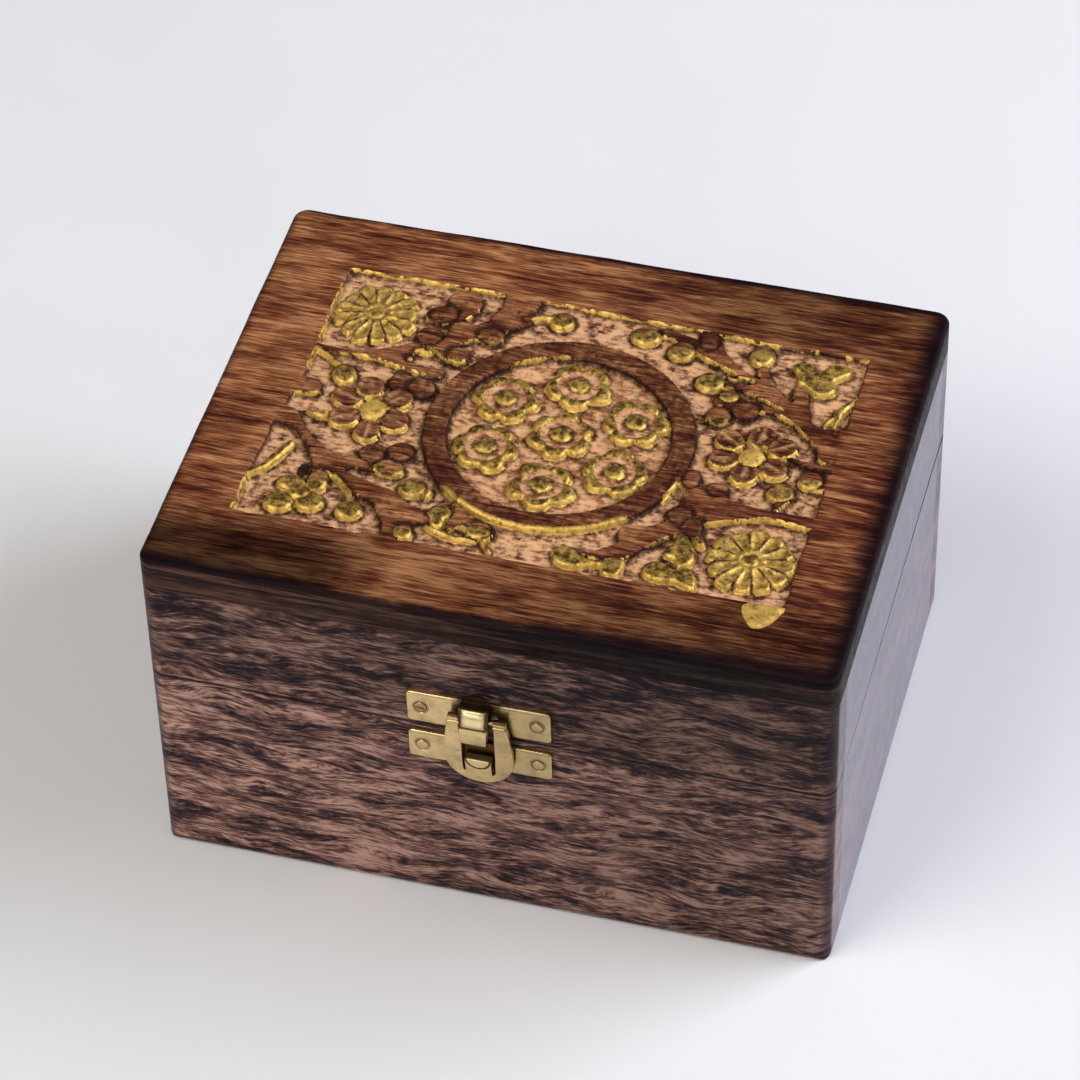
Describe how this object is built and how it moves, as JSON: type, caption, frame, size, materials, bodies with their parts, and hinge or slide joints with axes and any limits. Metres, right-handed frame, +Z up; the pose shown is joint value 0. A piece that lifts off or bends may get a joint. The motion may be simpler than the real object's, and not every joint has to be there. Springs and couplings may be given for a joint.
{
  "type": "jewelry box",
  "caption": "Small rectangular wooden jewelry box with a carved, part-gilded hinged lid, a brass swing clasp at the front and butt hinges at the back.",
  "frame": {"origin": "centre of the base's underside", "axes": "+X to the right of the box seen from its clasp side, +Y to the hinges at the back, +Z up"},
  "size_m": [0.13, 0.1043, 0.076],
  "materials": {
    "carved_top": "satin lacquered mango wood, carved, with scorched edges and brushed gold paint on the ornament",
    "wall_wood": "satin lacquered figured brown wood",
    "inner_wood": "plain sanded wood",
    "felt": "short matt velvet-like felt",
    "brass": "satin stamped brass sheet",
    "hinge_brass": "plain rolled brass",
    "steel_screws": "turned brass screws, slightly dull"
  },
  "bodies": {
    "base": {"base_front": "wall_wood", "base_back": "wall_wood", "base_left": "wall_wood", "base_right": "wall_wood", "floor_board": "inner_wood", "base_lining": "felt", "hinge_lower_left": "hinge_brass", "hinge_lower_right": "hinge_brass", "hinge_pin_left": "hinge_brass", "hinge_pin_right": "hinge_brass", "hinge_screws_lower": "steel_screws", "clasp_catch_plate": "brass", "clasp_pins_lower": "brass"},
    "lid": {"lid_top": "carved_top", "lid_front": "wall_wood", "lid_back": "wall_wood", "lid_left": "wall_wood", "lid_right": "wall_wood", "lid_lining": "felt", "hinge_upper_left": "hinge_brass", "hinge_upper_right": "hinge_brass", "hinge_screws_upper": "steel_screws", "clasp_hook_plate": "brass", "clasp_pin_upper": "brass", "clasp_screw": "brass"},
    "hasp": {"hasp": "brass"}
  },
  "joints": [
    {"name": "lid_open", "type": "hinge", "parent": "base", "child": "lid", "pos_m": [0, 0.0496, 0.04675], "axis": [-1, 0, 0], "range_deg": [0, 95]},
    {"name": "hasp_swing", "type": "hinge", "parent": "lid", "child": "hasp", "pos_m": [-0.0011, -0.05226, 0.0523], "axis": [-1, 0, 0], "range_deg": [0, 170]}
  ]
}
